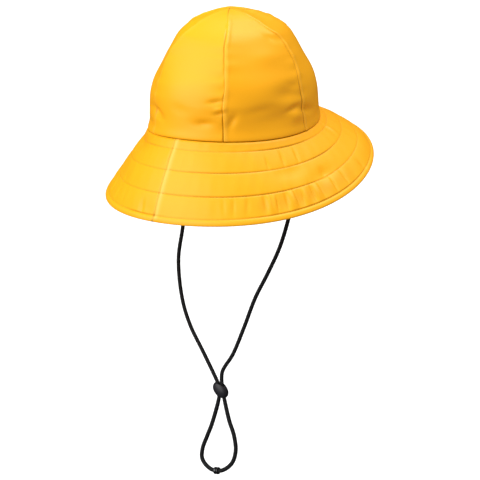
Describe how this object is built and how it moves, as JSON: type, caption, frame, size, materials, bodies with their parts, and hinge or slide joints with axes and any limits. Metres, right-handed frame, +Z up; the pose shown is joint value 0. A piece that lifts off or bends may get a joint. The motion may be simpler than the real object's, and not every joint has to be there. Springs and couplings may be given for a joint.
{
  "type": "sou'wester hat",
  "caption": "Waterproof sou'wester rain hat with a panelled crown, a wide stitched brim longest at the back, and a round elastic chin cord with an oval toggle.",
  "frame": {"origin": "middle of the head opening, at the level of the seam between crown and brim, where the hat sits on a head", "axes": "+Z up, +Y to the back of the head, +X to the wearer's left; the front of the brim is at -Y"},
  "size_m": [0.2942, 0.3118, 0.5493],
  "materials": {
    "crown_cloth": "coated satin",
    "brim_cloth": "coated satin",
    "tab_cloth": "coated satin",
    "elastic_cord": "matte braid",
    "toggle_plastic": "satin",
    "bead_plastic": "gloss"
  },
  "bodies": {
    "root": {"gore_back_left": "crown_cloth", "gore_back": "crown_cloth", "gore_back_right": "crown_cloth", "gore_front_right": "crown_cloth", "gore_front": "crown_cloth", "gore_front_left": "crown_cloth", "brim": "brim_cloth", "cord_tab_left": "tab_cloth", "cord_tab_right": "tab_cloth", "chin_cord": "elastic_cord", "cord_toggle": "toggle_plastic", "crimp_bead": "bead_plastic"}
  },
  "joints": []
}
